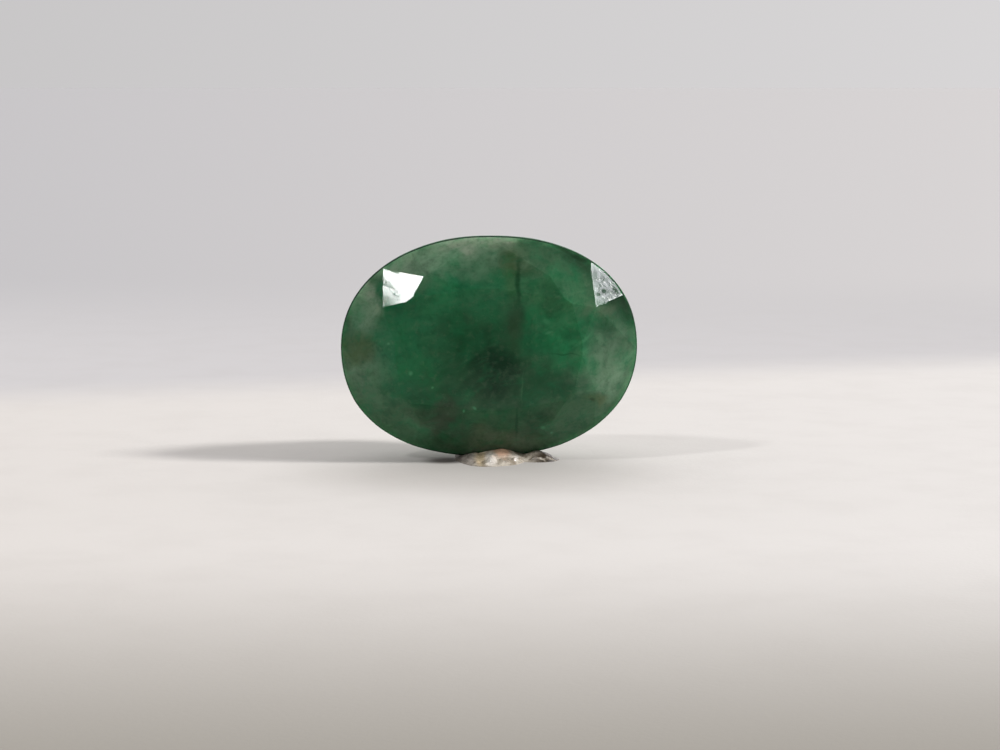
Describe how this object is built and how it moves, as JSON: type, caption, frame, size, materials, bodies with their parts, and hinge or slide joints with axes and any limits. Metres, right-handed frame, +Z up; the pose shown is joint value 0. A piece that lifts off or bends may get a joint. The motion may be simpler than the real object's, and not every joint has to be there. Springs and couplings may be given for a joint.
{
  "type": "faceted oval emerald on a dab of glue",
  "caption": "Oval faceted emerald with a brilliant crown and a step-cut pavilion, standing on its long edge in a small dab of clear glue that holds it upright.",
  "frame": {"origin": "middle of the footprint box, on the flat underside of the glue dab", "axes": "+Z up, +X along the stone's long axis to the right as the table is seen, -Y the way the table faces"},
  "size_m": [0.012, 0.0064, 0.0091],
  "materials": {
    "emerald_beryl": "polished",
    "clear_glue": "gloss"
  },
  "bodies": {
    "root": {"emerald": "emerald_beryl", "glue_dab": "clear_glue"}
  },
  "joints": []
}
